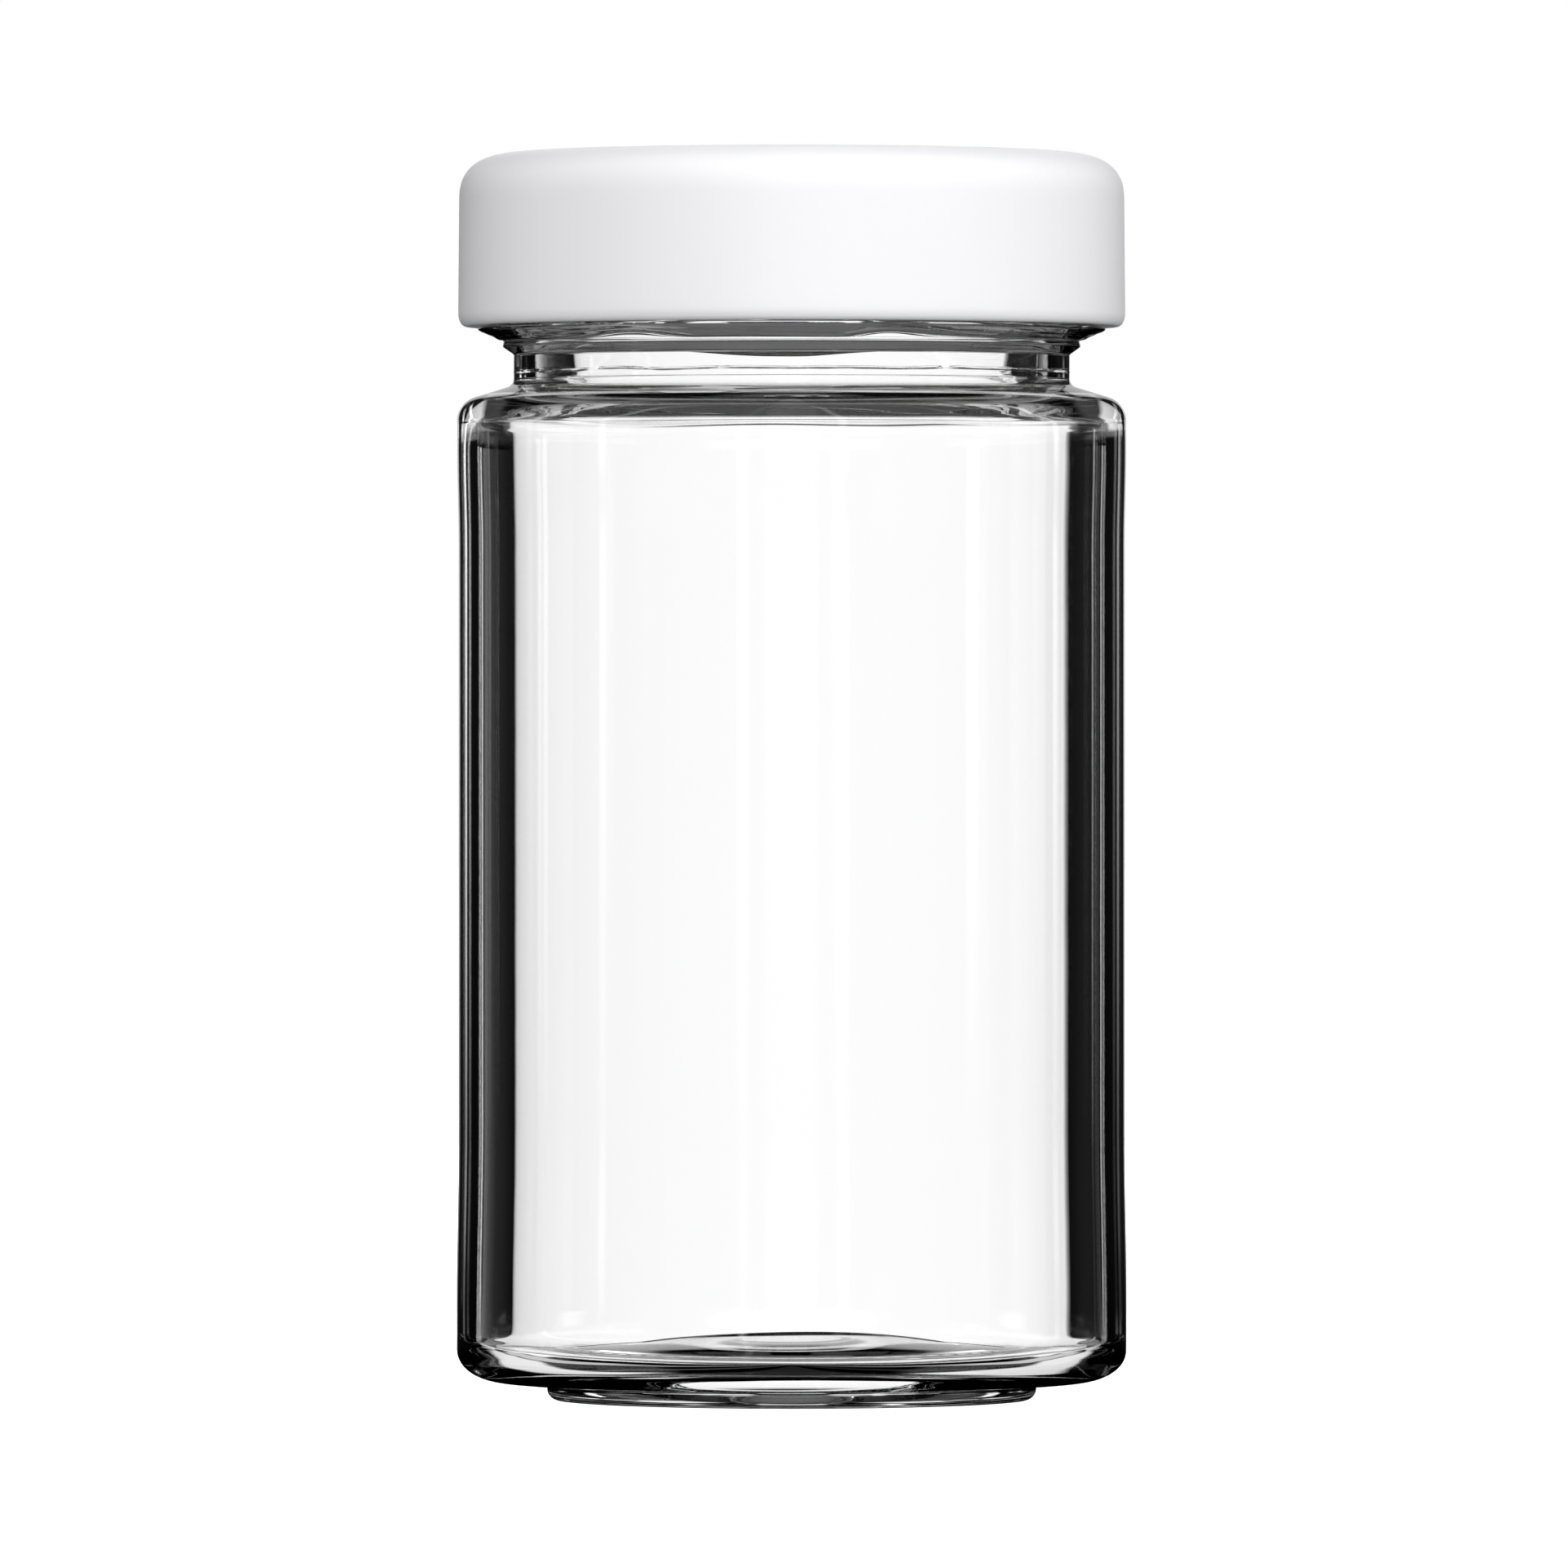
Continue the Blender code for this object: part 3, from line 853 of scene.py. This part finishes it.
def studio_world():
    """White to the eye, with dark flags that only the glass and gloss see."""
    world = bpy.data.worlds.new("studio")
    world.use_nodes = True
    tree = world.node_tree
    tree.nodes.clear()
    place = add_node(tree, "ShaderNodeTexCoord")
    axes = add_node(tree, "ShaderNodeSeparateXYZ", {0: place.outputs["Generated"]})
    turn = add_node(
        tree, "ShaderNodeMath", {0: axes.outputs["X"], 1: axes.outputs["Y"]}, operation="ARCTAN2"
    )
    side = add_node(
        tree, "ShaderNodeMath", {0: turn.outputs[0], 1: math.pi / 4, 2: -math.pi / 4},
        operation="WRAP",
    ).outputs[0]
    rise = add_node(tree, "ShaderNodeMath", {0: axes.outputs["Z"]}, operation="ARCSINE").outputs[0]
    seen = [
        add_node(
            tree, "ShaderNodeMath", {0: spread(tree, side, across), 1: spread(tree, rise, up)},
            operation="MULTIPLY",
        ).outputs[0]
        for across, up in (
            (MIRRORED, MIRROR_RISE), (WINDOW, WINDOW_RISE), (SCREENS, SCREEN_RISE),
            (EDGE_STRIPS, STRIP_RISE), (INNER_WINDOW, INNER_RISE), (PAST_FLAGS, PAST_RISE),
            (OVER_FLAGS, HIGH_RISE), (LOW_CARDS, CARD_RISE),
        )
    ]
    outer, inner = seen[1], seen[3]
    outer = add_node(tree, "ShaderNodeMath", {0: outer, 1: seen[2]}, operation="ADD").outputs[0]
    for more in seen[4:]:
        inner = add_node(tree, "ShaderNodeMath", {0: inner, 1: more}, operation="ADD").outputs[0]
    path = add_node(tree, "ShaderNodeLightPath")
    bent, mirrored, scattered = (
        add_node(
            tree, "ShaderNodeMath", {0: path.outputs[kind + " Depth"], 1: 0.5},
            operation="GREATER_THAN",
        ).outputs[0]
        for kind in ("Transmission", "Glossy", "Diffuse")
    )
    glass = add_node(
        tree, "ShaderNodeMix", {FACTOR: mirrored, NUMBER_A: outer, NUMBER_B: inner},
        data_type="FLOAT",
    ).outputs[0]
    glass = add_node(
        tree, "ShaderNodeMix", {FACTOR: scattered, NUMBER_A: glass, NUMBER_B: INSIDE},
        data_type="FLOAT",
    ).outputs[0]
    gloss = add_node(
        tree, "ShaderNodeMix",
        {FACTOR: path.outputs["Is Glossy Ray"], NUMBER_A: AMBIENT, NUMBER_B: seen[0]},
        data_type="FLOAT",
    ).outputs[0]
    light = add_node(
        tree, "ShaderNodeMix", {FACTOR: bent, NUMBER_A: gloss, NUMBER_B: glass},
        data_type="FLOAT",
    ).outputs[0]
    final = add_node(
        tree, "ShaderNodeMix",
        {FACTOR: path.outputs["Is Camera Ray"], NUMBER_A: light, NUMBER_B: 1.0},
        data_type="FLOAT",
    )
    back = add_node(
        tree, "ShaderNodeBackground", {"Color": (1, 1, 1, 1), "Strength": final.outputs[0]}
    )
    add_node(tree, "ShaderNodeOutputWorld", {"Surface": back.outputs[0]})
    return world


def ground_material(stage):
    """Matt white table top with the jar's shadow. Glass and gloss look through it to the studio.

    It is clear from below too, so that a camera under it sees the jar's foot.
    """
    made, tree = new_material("white_table")
    path = add_node(tree, "ShaderNodeLightPath")
    matt = add_node(tree, "ShaderNodeBsdfDiffuse", {"Color": (*stage.ground, 1)})
    # What it sends up to the lid and seal is dimmer, and the glow only whitens it to the eye
    dim = add_node(tree, "ShaderNodeBsdfDiffuse", {"Color": linear("#959595")})
    glow = add_node(tree, "ShaderNodeEmission", {"Color": (1, 1, 1, 1), "Strength": 0.85})
    lit = add_node(tree, "ShaderNodeAddShader", {0: matt.outputs[0], 1: glow.outputs[0]})
    seen = add_node(
        tree, "ShaderNodeMixShader",
        {0: path.outputs["Is Diffuse Ray"], 1: lit.outputs[0], 2: dim.outputs[0]},
    )
    bent = add_node(
        tree, "ShaderNodeMath", {0: path.outputs["Transmission Depth"], 1: 0.5},
        operation="GREATER_THAN",
    )
    clear = add_node(tree, "ShaderNodeBsdfTransparent")
    upper = add_node(
        tree, "ShaderNodeMixShader",
        {0: path.outputs["Is Glossy Ray"], 1: seen.outputs[0], 2: clear.outputs[0]},
    )
    upper = add_node(
        tree, "ShaderNodeMixShader", {0: bent.outputs[0], 1: upper.outputs[0], 2: clear.outputs[0]}
    )
    side = add_node(tree, "ShaderNodeNewGeometry")
    both = add_node(
        tree, "ShaderNodeMixShader",
        {0: side.outputs["Backfacing"], 1: upper.outputs[0], 2: clear.outputs[0]},
    )
    add_node(tree, "ShaderNodeOutputMaterial", {"Surface": both.outputs[0]})
    return made


# The table lies a hair under the foot, so that the two don't share a face
TABLE_DROP = 0.00005
TABLE_SEGMENTS = 64
# Soft boxes: name, angle from the camera's side to the right, height angle, watts, width
LAMPS = (
    ("left", -48, 15, 2.2, 0.5),
    ("front", -3, 23, 4.1, 0.6),
    ("right", 60, 15, 4.8, 0.5),
    ("overhead", 0, 80, 2.3, 0.9),
    ("back", 180, 15, 7.5, 0.7),
)


def add_lamp(name, side, height, watts, width):
    """A soft square lamp a metre away, aimed at the lid's edge, that lights but isn't seen."""
    data = bpy.data.lights.new(name, "AREA")
    data.shape = "SQUARE"
    data.size = width
    data.energy = watts
    lamp = bpy.data.objects.new(name, data)
    bpy.context.scene.collection.objects.link(lamp)
    turn, rise = math.radians(side), math.radians(height)
    away = Vector(
        (math.sin(turn) * math.cos(rise), -math.cos(turn) * math.cos(rise), math.sin(rise))
    )
    lamp.location = away + Vector((0, 0, LID_LOW.z))
    lamp.rotation_euler = away.to_track_quat("Z", "Y").to_euler()
    lamp.visible_camera = lamp.visible_glossy = lamp.visible_transmission = False


class CANNING_OT_stage(bpy.types.Operator):
    """Lay the pale floor, light it softly and set the camera"""

    bl_idname = "canning.stage"
    bl_label = "Studio"

    def execute(self, context):
        scene = context.scene
        stage = scene.canning_stage
        bm = bmesh.new()
        bmesh.ops.create_circle(
            bm, cap_ends=True, radius=stage.floor_radius, segments=TABLE_SEGMENTS
        )
        for vert in bm.verts:
            vert.co.z -= TABLE_DROP
        mesh = bpy.data.meshes.new("table_top")
        bm.to_mesh(mesh)
        bm.free()
        mesh.materials.append(ground_material(stage))
        table = bpy.data.objects.new("table_top", mesh)
        scene.collection.objects.link(table)
        for lamp in LAMPS:
            add_lamp(*lamp)
        scene.world = studio_world()
        data = bpy.data.cameras.new("camera")
        data.lens = stage.lens
        data.sensor_width = 36
        data.clip_start = 0.1
        data.clip_end = 50
        camera = bpy.data.objects.new("camera", data)
        scene.collection.objects.link(camera)
        eye = Vector((-stage.eye_side, -stage.eye_distance, stage.eye_height))
        aim = Vector((-stage.eye_side, 0, stage.aim_height))
        camera.location = eye
        camera.rotation_euler = (aim - eye).to_track_quat("-Z", "Y").to_euler()
        scene.camera = camera
        scene.view_settings.view_transform = "Standard"
        return {"FINISHED"}


class CANNING_PT_panel(bpy.types.Panel):
    """The jar's pieces and their sizes"""

    bl_idname = "CANNING_PT_panel"
    bl_label = "Canning jar"
    bl_space_type = "VIEW_3D"
    bl_region_type = "UI"
    bl_category = "Canning jar"

    def draw(self, context):
        for name, operator in PIECES:
            box = self.layout.box()
            sizes = getattr(context.scene, "canning_" + name)
            for key in sizes.bl_rna.properties.keys():
                if key not in ("rna_type", "name"):
                    box.prop(sizes, key)
            box.operator(operator.bl_idname)


GROUPS = {"jar": JarSizes, "lid": LidSizes, "seal": SealSizes, "stage": StageSizes}
PIECES = (
    ("jar", CANNING_OT_jar),
    ("seal", CANNING_OT_seal),
    ("lid", CANNING_OT_lid),
    ("stage", CANNING_OT_stage),
)
CLASSES = (*GROUPS.values(), *(operator for _, operator in PIECES), CANNING_PT_panel)


def register():
    """Makes the operators, sizes and panel known to Blender."""
    for item in CLASSES:
        bpy.utils.register_class(item)
    for name, group in GROUPS.items():
        setattr(bpy.types.Scene, "canning_" + name, bpy.props.PointerProperty(type=group))


def unregister():
    """Takes away what register added."""
    for name in GROUPS:
        delattr(bpy.types.Scene, "canning_" + name)
    for item in reversed(CLASSES):
        bpy.utils.unregister_class(item)


def main():
    register()
    bpy.ops.canning.jar()
    bpy.ops.canning.seal()
    bpy.ops.canning.lid()
    bpy.ops.canning.stage()


if __name__ == "__main__":
    main()
